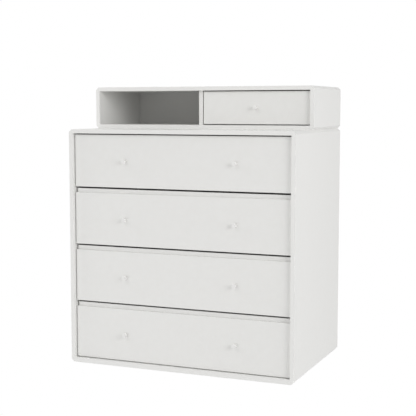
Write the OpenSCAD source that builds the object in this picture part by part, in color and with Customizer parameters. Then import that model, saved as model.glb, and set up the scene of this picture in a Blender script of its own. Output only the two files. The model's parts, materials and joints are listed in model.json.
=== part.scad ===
// Wall-hung chest of drawers: a low open-and-drawer box stands on a deep four-drawer box.
// Millimetres. X is the width, the front faces -Y, the wall is at the rear, Z is up.
// The origin is on the wall, at the middle of the screws that hold the wall batten.

/* [Modules] */
// Outside width of both boxes
body_w = 696; // [500:1:1000]
// Height of the lower box
lower_h = 694; // [500:1:900]
// Depth of the lower box
lower_d = 450; // [380:1:600]
// Height of the upper box
upper_h = 125; // [100:1:260]
// Depth of the upper box
upper_d = 283; // [260:1:380]
// Thickness of the lacquered case panels
panel_t = 12; // [9:0.5:19]
// Thickness of the lower box's bottom panel
foot_t = 14; // [12:0.5:19]
// Cut along the four long corners of each box
corner_cut = 8; // [2:0.5:14]
// How far the fronts and the divider stand behind the front edges
front_recess = 11; // [4:0.5:20]
// Centre of the upper divider, measured from the middle
divider_x = -2.5; // [-80:0.5:80]

/* [Fronts] */
// Number of drawers in the lower box
drawer_count = 4; // [4:1:4]
// Thickness of a drawer front
front_t = 7; // [5:0.5:19]
// Gap beside a lower front
side_gap = 2.2; // [1.5:0.1:8]
// Gap below the lowest front
foot_gap = 2.2; // [1.5:0.1:8]
// Gap above the topmost lower front
top_gap = 3.4; // [2:0.1:8]
// Height of the inner front that shows above a lower front
lip_h = 11.9; // [6:0.1:20]
// Gap between that inner front and the front above it
lip_gap = 5.3; // [2:0.1:10]
// Gap above and below the upper front
upper_gap = 2.8; // [2:0.1:8]
// Gap beside the upper front
upper_side_gap = 3.2; // [2:0.1:8]

/* [Knobs] */
// Diameter of a knob
knob_d = 13; // [8:0.5:30]
// Diameter of a knob's foot, where it meets its drawer front
knob_foot_d = 9.6; // [5:0.2:30]
// Length of a knob in front of its drawer front
knob_l = 13; // [8:0.5:30]
// Rounding of a knob's front edge
knob_round = 0.8; // [0.2:0.1:3]
// Distance of a lower knob from the middle of the box
knob_x = 171; // [60:1:260]

/* [Drawer boxes] */
// Thickness of the drawer box boards
box_t = 12; // [9:0.5:16]
// Space behind a lower drawer box
lower_rear_space = 34; // [5:1:120]
// Space behind the upper drawer box
upper_rear_space = 22; // [5:1:60]
// Height of the lower drawer sides' foot over the front's lower edge
lower_side_lift = 12; // [4:1:30]
// How far the lower drawer sides stay below the front's upper edge
lower_side_drop = 28; // [5:1:60]
// Height of the upper drawer sides' foot over the front's lower edge
upper_side_lift = 6; // [3:1:20]
// How far the upper drawer sides stay below the front's upper edge
upper_side_drop = 18; // [5:1:40]
// Thickness of a drawer bottom
bottom_t = 6; // [3:0.5:10]
// Depth of the groove that holds a drawer bottom
bottom_groove = 5; // [2:0.5:8]
// Height of the drawer bottom over the boards' lower edge
bottom_lift = 9; // [5:0.5:20]
// Play of a sheet in its groove
groove_play = 0.2; // [0:0.05:0.5]

/* [Runners] */
// How much shorter than its drawer side a runner is
runner_short = 10; // [2:1:60]
// Travel of a lower drawer from its rear stop to its front stop
lower_travel = 260; // [150:1:320]
// Travel of the upper drawer from its rear stop to its front stop
upper_travel = 150; // [100:1:180]
// Height of a runner's case member
runner_h = 35; // [27:1:45]
// Thickness of a closed runner between case and drawer side
runner_w = 12.5; // [10:0.1:16]
// Thickness of the runner's sheet steel
steel_t = 1.2; // [0.8:0.1:2]
// Running clearance between the two runner members
run_gap = 0.3; // [0.2:0.05:0.6]
// Depth of the case member's channel
channel_w = 9.7; // [7:0.1:11]
// Height of the case member's turned-in edges
edge_h = 3; // [2:0.1:6]
// Height of the lugs that stop a drawer at its full travel
lug_h = 14; // [8:0.5:20]
// Depth of those lugs
lug_w = 4.2; // [3:0.1:5]

/* [Back and wall] */
// Thickness of the lower back sheet
lower_back_t = 6; // [3:0.5:12]
// Depth of the groove round the lower back sheet
back_groove = 4; // [2:0.5:8]
// Thickness of the upper back sheet
upper_back_t = 3; // [2:0.5:6]
// Width of the rebate that holds the upper back sheet
rebate_w = 5; // [2:0.5:9]
// Space behind the lower back sheet for the hanging rail
wall_space = 20; // [12:0.5:40]
// Thickness of the hanging rail and the wall batten
rail_t = 18; // [10:0.5:36]
// Height of the hanging rail at its front face
rail_h = 50; // [35:1:120]
// Height of the wall batten at its rear face
batten_h = 60; // [40:1:120]
// Space between the wall batten's ends and the box sides
batten_end_gap = 16; // [5:1:60]
// Diameter of the screw holes in the wall batten
batten_hole_d = 6.5; // [4:0.5:10]
// Diameter of the countersinks in the wall batten
batten_sink_d = 13; // [8:0.5:20]
// Number of screw holes in the wall batten
batten_holes = 4; // [2:1:6]
// Distance of the outer holes from the batten's ends
batten_hole_inset = 50; // [20:1:120]

/* [Joining screws] */
// Shank diameter of the screws that join the two boxes
screw_d = 4; // [3:0.5:5]
// Head diameter of those screws
screw_head_d = 8; // [6:0.5:10]
// Wood left over the tips of those screws
screw_cover = 4; // [2:0.5:6]
// Distance of the screws from the box sides' outer faces
screw_inset_x = 90; // [40:1:200]
// Distance of the screws from the upper box's front and rear
screw_inset_y = 55; // [40:1:100]
// Play of a screw in its hole, on every side
screw_play = 0.1; // [0.05:0.05:0.5]

/* [Hidden] */
$fn = 64;
half_w = body_w / 2;
inner_w = half_w - panel_t;
front_y = -lower_d;
upper_front_y = -upper_d;

// Hanging: heights over the underside of the lower box
rail_top_z = lower_h - panel_t;
bevel_z = rail_top_z - rail_h - wall_space;
batten_mid_z = bevel_z - batten_h / 2;
batten_l = 2 * (inner_w - batten_end_gap);
batten_hole_pitch = (batten_l - 2 * batten_hole_inset) / (batten_holes - 1);
back_rear_y = -wall_space;
back_front_y = back_rear_y - lower_back_t;

// Fronts: they share what the gaps and lips leave of the opening
front_w = 2 * (inner_w - side_gap);
step_h = lip_h + lip_gap;
opening_h = lower_h - panel_t - foot_t;
front_h = (opening_h - top_gap - foot_gap - (drawer_count - 1) * step_h) / drawer_count;
front_pitch = front_h + step_h;
lower_front_y = front_y + front_recess;
lower_box_y = lower_front_y + front_t + box_t;
lower_box_l = back_front_y - lower_rear_space - lower_box_y;
lower_side_h = front_h - lower_side_lift - lower_side_drop;
lower_in = inner_w - runner_w - box_t;
function front_z(n) = foot_t + foot_gap + (drawer_count - n) * front_pitch;
function lip_of(n) = n == 1 ? 0 : lip_h;
function lower_box_z(n) = front_z(n) + lower_side_lift;
function lower_runner_z(n) = lower_box_z(n) + lower_side_h / 2;

// Upper box
bay_left = divider_x + panel_t / 2;
bay_right = inner_w;
bay_mid = (bay_left + bay_right) / 2;
upper_front_w = bay_right - bay_left - 2 * upper_side_gap;
upper_front_h = upper_h - 2 * panel_t - 2 * upper_gap;
upper_front_z = lower_h + panel_t + upper_gap;
upper_drawer_y = upper_front_y + front_recess;
upper_box_y = upper_drawer_y + front_t + box_t;
upper_box_l = -upper_back_t - upper_rear_space - upper_box_y;
upper_box_z = upper_front_z + upper_side_lift;
upper_side_h = upper_front_h - upper_side_lift - upper_side_drop;
upper_runner_z = upper_box_z + upper_side_h / 2;
upper_in_left = bay_left + runner_w + box_t;
upper_in_right = bay_right - runner_w - box_t;

// Runner sections: X runs from the case towards the drawer, Z from the runner's middle
hook_x = channel_w - steel_t - run_gap;
hook_z = runner_h / 2 - steel_t - run_gap;
neck_z = hook_z - edge_h;
lower_runner_l = lower_box_l - runner_short;
upper_runner_l = upper_box_l - runner_short;

// Joining screws
screw_l = 2 * panel_t - screw_cover;

// Everything is drawn over the underside of the lower box, and moved to the frame here
module in_frame() {
  translate([0, 0, -batten_mid_z])
    children();
}

// A profile drawn in X and Z, extruded towards the rear
module along_y(y, l) {
  translate([0, y + l, 0])
    rotate([90, 0, 0])
      linear_extrude(l)
        children();
}

// A profile drawn in Y and Z, extruded along X
module along_x(x, l) {
  translate([x, 0, 0])
    rotate([90, 0, 90])
      linear_extrude(l)
        children();
}

module board(x, y, z, w, d, h) {
  translate([x, y, z])
    cube([w, d, h]);
}

// Case panels: mitred, with the long outer corners cut off. foot is the bottom's thickness.
module side_profile(h, foot) {
  polygon([
    [inner_w, foot],
    [half_w - corner_cut / 2, corner_cut / 2],
    [half_w, corner_cut],
    [half_w, h - corner_cut],
    [half_w - corner_cut / 2, h - corner_cut / 2],
    [inner_w, h - panel_t]
  ]);
}

module floor_profile(t) {
  polygon([
    [-inner_w, t],
    [-half_w + corner_cut / 2, corner_cut / 2],
    [-half_w + corner_cut, 0],
    [half_w - corner_cut, 0],
    [half_w - corner_cut / 2, corner_cut / 2],
    [inner_w, t]
  ]);
}

module ceiling_profile(h) {
  translate([0, h])
    mirror([0, 1])
      floor_profile(panel_t);
}

// The lower back sheet stands in this groove, the upper one in this rebate
module lower_groove() {
  reach = inner_w + back_groove;
  board(-reach, back_front_y - groove_play, foot_t - back_groove,
    2 * reach, lower_back_t + 2 * groove_play, opening_h + 2 * back_groove);
}

module upper_rebate() {
  reach = inner_w + rebate_w;
  board(-reach, -upper_back_t, panel_t - rebate_w,
    2 * reach, upper_back_t + 1, upper_h - 2 * panel_t + 2 * rebate_w);
}

module lower_panel() {
  difference() {
    along_y(front_y, lower_d)
      children();
    lower_groove();
  }
}

module upper_panel() {
  translate([0, 0, lower_h])
    difference() {
      along_y(upper_front_y, upper_d)
        children();
      upper_rebate();
    }
}

// Countersunk screw and its hole, both standing on the flat of the head
module screw(r, head_r, l) {
  rotate_extrude()
    polygon([[0, 0], [head_r, 0], [r, head_r - r], [r, l - r], [r / 8, l], [0, l]]);
}

module screw_hole(r, head_r, l) {
  translate([0, 0, -1])
    cylinder(r = head_r, h = 1);
  cylinder(r1 = head_r, r2 = r, h = head_r - r);
  cylinder(r = r, h = l);
}

module at_screws() {
  for (side = [-1, 1])
    for (y = [upper_front_y + screw_inset_y, -screw_inset_y])
      translate([side * (half_w - screw_inset_x), y, lower_h - panel_t])
        children();
}

// Runner: the case member is a channel with turned-in edges, closed at its rear end,
// and the drawer member hooks into it. Lugs on both meet at full travel.
module case_member_profile() {
  for (m = [0, 1])
    mirror([0, m])
      polygon([
        [0, 0],
        [steel_t, 0],
        [steel_t, runner_h / 2 - steel_t],
        [channel_w - steel_t, runner_h / 2 - steel_t],
        [channel_w - steel_t, runner_h / 2 - steel_t - edge_h],
        [channel_w, runner_h / 2 - steel_t - edge_h],
        [channel_w, runner_h / 2],
        [0, runner_h / 2]
      ]);
}

module drawer_member_profile() {
  for (m = [0, 1])
    mirror([0, m])
      polygon([
        [runner_w, 0],
        [runner_w - steel_t, 0],
        [runner_w - steel_t, neck_z - steel_t],
        [hook_x - steel_t, neck_z - steel_t],
        [hook_x - steel_t, hook_z],
        [hook_x, hook_z],
        [hook_x, neck_z],
        [runner_w, neck_z]
      ]);
}

module case_member(y, l, travel) {
  stop_y = y + l - steel_t;
  lug_y = stop_y - 2 * steel_t - travel;
  along_y(y, l)
    case_member_profile();
  board(0, stop_y, -runner_h / 2, channel_w, steel_t, runner_h);
  board(0, lug_y, -lug_h / 2, lug_w, steel_t, lug_h);
}

module drawer_member(y, l) {
  member_l = l - steel_t;
  lug_x = hook_x - steel_t - lug_w;
  along_y(y, member_l)
    drawer_member_profile();
  board(lug_x, y + member_l - steel_t, -lug_h / 2, runner_w - lug_x, steel_t, lug_h);
}

// One runner at each end of a bay, the right one turned over
module runner_pair(x_left, x_right, z) {
  translate([x_left, 0, z])
    children();
  translate([x_right, 0, z])
    mirror([1, 0, 0])
      children();
}

// Drawer box boards. The bottom slides into grooves from the rear, under the back.
module box_side(x, y, z, l, h, groove_x) {
  difference() {
    board(x, y, z, box_t, l, h);
    board(groove_x, y - 1, z + bottom_lift - groove_play,
      bottom_groove, l + 2, bottom_t + 2 * groove_play);
  }
}

module box_bottom(x0, x1, y, z, l) {
  inset = bottom_groove - groove_play;
  board(x0 - inset, y - inset, z + bottom_lift, x1 - x0 + 2 * inset, l + inset, bottom_t);
}

module box_back(x0, x1, y, z, l, h) {
  foot = bottom_lift + bottom_t;
  board(x0, y + l - box_t, z + foot, x1 - x0, box_t, h - foot);
}

// Inner front: x0 and x1 are the inner faces of the drawer sides, z the sides' foot
module box_front(x, y, foot_z, w, h, x0, x1, z) {
  difference() {
    board(x, y, foot_z, w, box_t, h);
    board(x0 - bottom_groove, y + box_t - bottom_groove, z + bottom_lift - groove_play,
      x1 - x0 + 2 * bottom_groove, bottom_groove + 1, bottom_t + 2 * groove_play);
  }
}

// Turned knob, wider towards its face, with a rounded rim
module knob(x, y, z) {
  translate([x, y, z])
    rotate([90, 0, 0])
      rotate_extrude()
        polygon(concat(
          [[0, 0], [knob_foot_d / 2, 0]],
          [for (a = [0 : 15 : 90])
            [knob_d / 2 - knob_round * (1 - cos(a)), knob_l - knob_round * (1 - sin(a))]],
          [[0, knob_l]]
        ));
}

// Lower box
module lower_left_side() {
  color("white")
    in_frame()
      lower_panel()
        mirror([1, 0])
          side_profile(lower_h, foot_t);
}

module lower_right_side() {
  color("white")
    in_frame()
      lower_panel()
        side_profile(lower_h, foot_t);
}

module lower_top() {
  color("white")
    in_frame()
      difference() {
        lower_panel()
          ceiling_profile(lower_h);
        at_screws()
          screw_hole(screw_d / 2 + screw_play, screw_head_d / 2 + screw_play, panel_t + 1);
      }
}

module lower_bottom() {
  color("white")
    in_frame()
      lower_panel()
        floor_profile(foot_t);
}

module lower_back() {
  inset = back_groove - groove_play;
  color("white")
    in_frame()
      board(-inner_w - inset, back_front_y, foot_t - inset,
        2 * (inner_w + inset), lower_back_t, opening_h + 2 * inset);
}

module hanging_rail() {
  rail_rear_y = back_rear_y + rail_t;
  color("burlywood")
    in_frame()
      along_x(-inner_w, 2 * inner_w)
        polygon([
          [back_rear_y, bevel_z - back_rear_y],
          [rail_rear_y, bevel_z - rail_rear_y],
          [rail_rear_y, rail_top_z],
          [back_rear_y, rail_top_z]
        ]);
}

module wall_batten() {
  color("burlywood")
    in_frame()
      difference() {
        along_x(-batten_l / 2, batten_l)
          polygon([
            [-rail_t, bevel_z - batten_h],
            [0, bevel_z - batten_h],
            [0, bevel_z],
            [-rail_t, bevel_z + rail_t]
          ]);
        for (i = [0 : batten_holes - 1])
          translate([(i - (batten_holes - 1) / 2) * batten_hole_pitch, -rail_t, batten_mid_z])
            rotate([-90, 0, 0])
              screw_hole(batten_hole_d / 2, batten_sink_d / 2, rail_t + 1);
      }
}

module lower_case_runners() {
  color("silver")
    in_frame()
      for (n = [1 : drawer_count])
        runner_pair(-inner_w, inner_w, lower_runner_z(n))
          case_member(lower_box_y, lower_runner_l, lower_travel);
}

// Upper box
module upper_left_side() {
  color("white")
    in_frame()
      upper_panel()
        mirror([1, 0])
          side_profile(upper_h, panel_t);
}

module upper_right_side() {
  color("white")
    in_frame()
      upper_panel()
        side_profile(upper_h, panel_t);
}

module upper_top() {
  color("white")
    in_frame()
      upper_panel()
        ceiling_profile(upper_h);
}

module upper_bottom() {
  color("white")
    in_frame()
      difference() {
        upper_panel()
          floor_profile(panel_t);
        at_screws()
          cylinder(r = screw_d / 2 + screw_play, h = screw_l + screw_play);
      }
}

module upper_divider() {
  color("white")
    in_frame()
      board(bay_left - panel_t, upper_drawer_y, lower_h + panel_t,
        panel_t, -upper_back_t - upper_drawer_y, upper_h - 2 * panel_t);
}

module upper_back() {
  inset = rebate_w - groove_play;
  color("white")
    in_frame()
      board(-inner_w - inset, -upper_back_t, lower_h + panel_t - inset,
        2 * (inner_w + inset), upper_back_t, upper_h - 2 * panel_t + 2 * inset);
}

module upper_case_runners() {
  color("silver")
    in_frame()
      runner_pair(bay_left, bay_right, upper_runner_z)
        case_member(upper_box_y, upper_runner_l, upper_travel);
}

module joining_screws() {
  color("silver")
    in_frame()
      at_screws()
        screw(screw_d / 2, screw_head_d / 2, screw_l);
}

// Lower drawers, numbered from the top
module lower_drawer_front(n) {
  color("white")
    in_frame()
      board(-front_w / 2, lower_front_y, front_z(n), front_w, front_t, front_h);
}

module lower_drawer_inner_front(n) {
  color("white")
    in_frame()
      box_front(-front_w / 2, lower_front_y + front_t, front_z(n), front_w,
        front_h + lip_of(n), -lower_in, lower_in, lower_box_z(n));
}

module lower_drawer_left_side(n) {
  color("gainsboro")
    in_frame()
      box_side(-lower_in - box_t, lower_box_y, lower_box_z(n), lower_box_l, lower_side_h,
        -lower_in - bottom_groove);
}

module lower_drawer_right_side(n) {
  color("gainsboro")
    in_frame()
      box_side(lower_in, lower_box_y, lower_box_z(n), lower_box_l, lower_side_h, lower_in);
}

module lower_drawer_back(n) {
  color("gainsboro")
    in_frame()
      box_back(-lower_in, lower_in, lower_box_y, lower_box_z(n), lower_box_l, lower_side_h);
}

module lower_drawer_bottom(n) {
  color("gainsboro")
    in_frame()
      box_bottom(-lower_in, lower_in, lower_box_y, lower_box_z(n), lower_box_l);
}

module lower_drawer_knob(n, side) {
  color("white")
    in_frame()
      knob(side * knob_x, lower_front_y, front_z(n) + front_h / 2);
}

module lower_drawer_runners(n) {
  color("silver")
    in_frame()
      runner_pair(-inner_w, inner_w, lower_runner_z(n))
        drawer_member(lower_box_y, lower_runner_l);
}

module drawer_1_front() {
  lower_drawer_front(1);
}

module drawer_1_inner_front() {
  lower_drawer_inner_front(1);
}

module drawer_1_left_side() {
  lower_drawer_left_side(1);
}

module drawer_1_right_side() {
  lower_drawer_right_side(1);
}

module drawer_1_back() {
  lower_drawer_back(1);
}

module drawer_1_bottom() {
  lower_drawer_bottom(1);
}

module drawer_1_left_knob() {
  lower_drawer_knob(1, -1);
}

module drawer_1_right_knob() {
  lower_drawer_knob(1, 1);
}

module drawer_1_runners() {
  lower_drawer_runners(1);
}

module drawer_2_front() {
  lower_drawer_front(2);
}

module drawer_2_inner_front() {
  lower_drawer_inner_front(2);
}

module drawer_2_left_side() {
  lower_drawer_left_side(2);
}

module drawer_2_right_side() {
  lower_drawer_right_side(2);
}

module drawer_2_back() {
  lower_drawer_back(2);
}

module drawer_2_bottom() {
  lower_drawer_bottom(2);
}

module drawer_2_left_knob() {
  lower_drawer_knob(2, -1);
}

module drawer_2_right_knob() {
  lower_drawer_knob(2, 1);
}

module drawer_2_runners() {
  lower_drawer_runners(2);
}

module drawer_3_front() {
  lower_drawer_front(3);
}

module drawer_3_inner_front() {
  lower_drawer_inner_front(3);
}

module drawer_3_left_side() {
  lower_drawer_left_side(3);
}

module drawer_3_right_side() {
  lower_drawer_right_side(3);
}

module drawer_3_back() {
  lower_drawer_back(3);
}

module drawer_3_bottom() {
  lower_drawer_bottom(3);
}

module drawer_3_left_knob() {
  lower_drawer_knob(3, -1);
}

module drawer_3_right_knob() {
  lower_drawer_knob(3, 1);
}

module drawer_3_runners() {
  lower_drawer_runners(3);
}

module drawer_4_front() {
  lower_drawer_front(4);
}

module drawer_4_inner_front() {
  lower_drawer_inner_front(4);
}

module drawer_4_left_side() {
  lower_drawer_left_side(4);
}

module drawer_4_right_side() {
  lower_drawer_right_side(4);
}

module drawer_4_back() {
  lower_drawer_back(4);
}

module drawer_4_bottom() {
  lower_drawer_bottom(4);
}

module drawer_4_left_knob() {
  lower_drawer_knob(4, -1);
}

module drawer_4_right_knob() {
  lower_drawer_knob(4, 1);
}

module drawer_4_runners() {
  lower_drawer_runners(4);
}

// Upper drawer
module upper_drawer_front() {
  color("white")
    in_frame()
      board(bay_left + upper_side_gap, upper_drawer_y, upper_front_z,
        upper_front_w, front_t, upper_front_h);
}

module upper_drawer_inner_front() {
  color("white")
    in_frame()
      box_front(bay_left + upper_side_gap, upper_drawer_y + front_t, upper_front_z,
        upper_front_w, upper_front_h, upper_in_left, upper_in_right, upper_box_z);
}

module upper_drawer_left_side() {
  color("gainsboro")
    in_frame()
      box_side(upper_in_left - box_t, upper_box_y, upper_box_z, upper_box_l, upper_side_h,
        upper_in_left - bottom_groove);
}

module upper_drawer_right_side() {
  color("gainsboro")
    in_frame()
      box_side(upper_in_right, upper_box_y, upper_box_z, upper_box_l, upper_side_h,
        upper_in_right);
}

module upper_drawer_back() {
  color("gainsboro")
    in_frame()
      box_back(upper_in_left, upper_in_right, upper_box_y, upper_box_z, upper_box_l,
        upper_side_h);
}

module upper_drawer_bottom() {
  color("gainsboro")
    in_frame()
      box_bottom(upper_in_left, upper_in_right, upper_box_y, upper_box_z, upper_box_l);
}

module upper_drawer_knob() {
  color("white")
    in_frame()
      knob(bay_mid, upper_drawer_y, upper_front_z + upper_front_h / 2);
}

module upper_drawer_runners() {
  color("silver")
    in_frame()
      runner_pair(bay_left, bay_right, upper_runner_z)
        drawer_member(upper_box_y, upper_runner_l);
}

lower_left_side();
lower_right_side();
lower_top();
lower_bottom();
lower_back();
hanging_rail();
wall_batten();
lower_case_runners();
upper_left_side();
upper_right_side();
upper_top();
upper_bottom();
upper_divider();
upper_back();
upper_case_runners();
joining_screws();
drawer_1_front();
drawer_1_inner_front();
drawer_1_left_side();
drawer_1_right_side();
drawer_1_back();
drawer_1_bottom();
drawer_1_left_knob();
drawer_1_right_knob();
drawer_1_runners();
drawer_2_front();
drawer_2_inner_front();
drawer_2_left_side();
drawer_2_right_side();
drawer_2_back();
drawer_2_bottom();
drawer_2_left_knob();
drawer_2_right_knob();
drawer_2_runners();
drawer_3_front();
drawer_3_inner_front();
drawer_3_left_side();
drawer_3_right_side();
drawer_3_back();
drawer_3_bottom();
drawer_3_left_knob();
drawer_3_right_knob();
drawer_3_runners();
drawer_4_front();
drawer_4_inner_front();
drawer_4_left_side();
drawer_4_right_side();
drawer_4_back();
drawer_4_bottom();
drawer_4_left_knob();
drawer_4_right_knob();
drawer_4_runners();
upper_drawer_front();
upper_drawer_inner_front();
upper_drawer_left_side();
upper_drawer_right_side();
upper_drawer_back();
upper_drawer_bottom();
upper_drawer_knob();
upper_drawer_runners();
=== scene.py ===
# %% [markdown]
# # Wall-hung chest of drawers
# Two white lacquered cases: a square, deep one with four full-width drawers, and on top of it
# a low, shallow one with an open compartment and a small drawer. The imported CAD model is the
# frame. It holds every board at its true size and place. This script sets up the camera and
# the light, gives each board its eased edges and its finish, and adds the small fittings that
# a maker would put in: knobs, screws and pins.

import json
import math

import bmesh
import bpy
from mathutils import Matrix, Vector


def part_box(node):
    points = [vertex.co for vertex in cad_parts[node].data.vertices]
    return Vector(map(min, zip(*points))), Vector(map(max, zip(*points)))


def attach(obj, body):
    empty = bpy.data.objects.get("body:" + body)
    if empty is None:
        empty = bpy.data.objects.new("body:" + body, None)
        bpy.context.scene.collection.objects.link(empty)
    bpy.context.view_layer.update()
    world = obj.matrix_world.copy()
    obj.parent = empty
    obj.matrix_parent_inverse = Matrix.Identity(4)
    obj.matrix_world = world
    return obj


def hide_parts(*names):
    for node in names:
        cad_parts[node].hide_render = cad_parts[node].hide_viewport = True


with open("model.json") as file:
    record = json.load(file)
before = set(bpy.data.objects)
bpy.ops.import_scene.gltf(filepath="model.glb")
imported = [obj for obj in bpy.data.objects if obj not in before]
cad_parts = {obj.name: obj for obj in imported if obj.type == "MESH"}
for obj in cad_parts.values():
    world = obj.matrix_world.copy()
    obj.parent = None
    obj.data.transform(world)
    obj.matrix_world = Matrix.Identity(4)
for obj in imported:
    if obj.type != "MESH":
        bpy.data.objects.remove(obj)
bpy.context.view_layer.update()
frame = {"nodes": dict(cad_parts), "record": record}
nodes = frame["nodes"]
bodies = frame["record"]["behaviour"]["bodies"]
body_of = {node: body for body, members in bodies.items() for node in members}
slot_of = {row["node"]: row["material_slot"] for row in frame["record"]["subparts"]}

MM = 0.001
WHITE = (1.0, 1.0, 1.0, 1.0)

# %% [markdown]
# ## Camera
# The photo was taken from the right and a little above, with a long lens. The camera stands
# where the edges of the two cases run as they do in the photo. It comes first, so that every
# later step can be looked at from the right place. The view transform is Standard, so a
# colour comes out as it is written.

# %% Set the camera
PHOTO_PX = 416
SENSOR_MM = 36.0
FOCAL_PX = 1004.96
CAMERA_AT = Vector((1.16338, -3.02228, 0.17065))
CAMERA_TURN = math.radians(22.57)
CAMERA_DIP = math.radians(5.62)

scene = bpy.context.scene
camera_data = bpy.data.cameras.new("photo_camera")
camera_data.sensor_width = SENSOR_MM
camera_data.lens = FOCAL_PX / PHOTO_PX * SENSOR_MM
camera = bpy.data.objects.new("photo_camera", camera_data)
camera.location = CAMERA_AT
camera.rotation_euler = (math.pi / 2 - CAMERA_DIP, 0.0, CAMERA_TURN)
scene.collection.objects.link(camera)
scene.camera = camera
scene.view_settings.view_transform = "Standard"
print("lens", round(camera_data.lens, 2), "mm")

# %% [markdown]
# ## Helpers for shader nodes
# A material is a small tree of nodes. Two helpers keep the later cells short: one adds a node
# and fills in its inputs, the other joins two sockets. A Mix node has several sockets of the
# same name, so those are picked by their place, which differs for colours and for numbers.

# %% Node helpers
MIX_COLOUR_A = 6
MIX_COLOUR_B = 7
MIX_COLOUR_OUT = 2
MIX_NUMBER_A = 2
MIX_NUMBER_B = 3


def add_node(tree, kind, inputs=(), **settings):
    """One shader node, with its settings and the numbers of its inputs by name or place."""
    made = tree.nodes.new(kind)
    for key, value in settings.items():
        setattr(made, key, value)
    for key, value in dict(inputs).items():
        made.inputs[key].default_value = value
    return made


def join(tree, source, out_name, target, in_name):
    """Links one output to one input."""
    tree.links.new(source.outputs[out_name], target.inputs[in_name])


print("node helpers ready")

# %% [markdown]
# ## World
# The photo has a plain white background, and a soft, even light without a hard shadow. A world
# of even light gives most of it. What the camera, a shiny surface or a clear one sees of the
# world is plain white, which Light Path tells apart, so the background needs no extra light.

# %% World of even light
WORLD_LIGHT = 0.468

world = bpy.data.worlds.new("studio")
scene.world = world
world.use_nodes = True
sky = world.node_tree
sky.nodes.clear()
sky_out = add_node(sky, "ShaderNodeOutputWorld")
sky_mix = add_node(sky, "ShaderNodeMixShader")
sky_light = add_node(
    sky, "ShaderNodeBackground", {"Color": (1, 1, 1, 1), "Strength": WORLD_LIGHT}
)
sky_seen = add_node(sky, "ShaderNodeBackground", {"Color": (1, 1, 1, 1), "Strength": 1.0})
sky_path = add_node(sky, "ShaderNodeLightPath")
seen = add_node(sky, "ShaderNodeMath", operation="ADD", use_clamp=True)
seen_too = add_node(sky, "ShaderNodeMath", operation="ADD", use_clamp=True)
join(sky, sky_path, "Is Camera Ray", seen, 0)
join(sky, sky_path, "Is Glossy Ray", seen, 1)
join(sky, seen, 0, seen_too, 0)
join(sky, sky_path, "Is Transmission Ray", seen_too, 1)
join(sky, seen_too, 0, sky_mix, 0)
join(sky, sky_light, 0, sky_mix, 1)
join(sky, sky_seen, 0, sky_mix, 2)
join(sky, sky_mix, 0, sky_out, "Surface")
print("world light", WORLD_LIGHT)

# %% [markdown]
# ## Lamps
# Each knob in the photo has two soft shadows, one down to the left and one down to the right,
# so two soft lamps stood above on both sides of the camera. Two larger ones far out to the
# sides stand for the white studio walls: they make the right side face as bright as the
# fronts and light the inside of the open compartment. A low one stands for the light that the
# studio floor sends up, and brightens the undersides and the strips between the fronts.

# %% Five soft lamps
LAMP_AIM = Vector((0.0, -0.25, 0.0))
LAMP_FAR = 3.6
WIDE_LAMP = 1.8
SMALL_LAMP = 1.2


def lamp(name, size, turn, rise, watts):
    """A square light: its size, degrees to the right of the front, degrees up, and power."""
    side = math.radians(turn)
    up = math.radians(rise)
    away = Vector(
        (math.sin(side) * math.cos(up), -math.cos(side) * math.cos(up), math.sin(up))
    )
    data = bpy.data.lights.new(name, "AREA")
    data.shape = "SQUARE"
    data.size = size
    data.energy = watts
    made = bpy.data.objects.new(name, data)
    made.location = LAMP_AIM + LAMP_FAR * away
    made.rotation_euler = (-away).to_track_quat("-Z", "Y").to_euler()
    scene.collection.objects.link(made)
    print(name, [round(v, 2) for v in made.location], watts, "W")


lamp("right_lamp", SMALL_LAMP, 55, 15, 28)
lamp("left_lamp", SMALL_LAMP, -25, 35, 19)
lamp("right_wall_lamp", WIDE_LAMP, 75, 5, 29)
lamp("left_wall_lamp", WIDE_LAMP, -87, 28, 60)
lamp("low_lamp", WIDE_LAMP, -30, -20, 17)

# %% [markdown]
# ## Floor
# The chest hangs on a wall, so the floor lies free below it. It is a plain pale sheet. To the
# camera and in reflections it glows, which makes it as white as the world.

# %% Pale floor
FLOOR_Y = -0.6
FLOOR_Z = -1.4
FLOOR_SIZE = 3.4
FLOOR_GLOW = 0.92
FLOOR_PAINT = (0.85, 0.85, 0.85, 1.0)
FLOOR_ROUGH = 0.9

bpy.ops.mesh.primitive_plane_add(size=FLOOR_SIZE, location=(0.0, FLOOR_Y, FLOOR_Z))
floor = bpy.context.object
floor.name = "studio_floor"
floor_paint = bpy.data.materials.new("studio_floor")
floor_paint.use_nodes = True
tree = floor_paint.node_tree
shader = tree.nodes["Principled BSDF"]
shader.inputs["Base Color"].default_value = FLOOR_PAINT
shader.inputs["Roughness"].default_value = FLOOR_ROUGH
glow = add_node(tree, "ShaderNodeEmission", {"Color": (1, 1, 1, 1), "Strength": FLOOR_GLOW})
both = add_node(tree, "ShaderNodeAddShader")
choose = add_node(tree, "ShaderNodeMixShader")
path = add_node(tree, "ShaderNodeLightPath")
paths = add_node(tree, "ShaderNodeMath", operation="ADD", use_clamp=True)
join(tree, path, "Is Camera Ray", paths, 0)
join(tree, path, "Is Glossy Ray", paths, 1)
join(tree, shader, 0, both, 0)
join(tree, glow, 0, both, 1)
join(tree, paths, 0, choose, 0)
join(tree, shader, 0, choose, 1)
join(tree, both, 0, choose, 2)
join(tree, choose, 0, tree.nodes["Material Output"], "Surface")
floor.data.materials.append(floor_paint)
print("floor at", FLOOR_Z)

# %% [markdown]
# ## Shared effects
# Several finishes share the same small faults, so each fault is a node group that is built
# once. `paint_skin` is a sprayed coat: broad patches that are a trace lighter or darker, and
# the fine waviness that painters call orange peel. `edge_rub` changes the colour and the
# roughness where an edge was rounded by hand. `long_grain` is a pattern drawn out along one
# direction, for foil, plywood and rolled steel.


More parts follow.
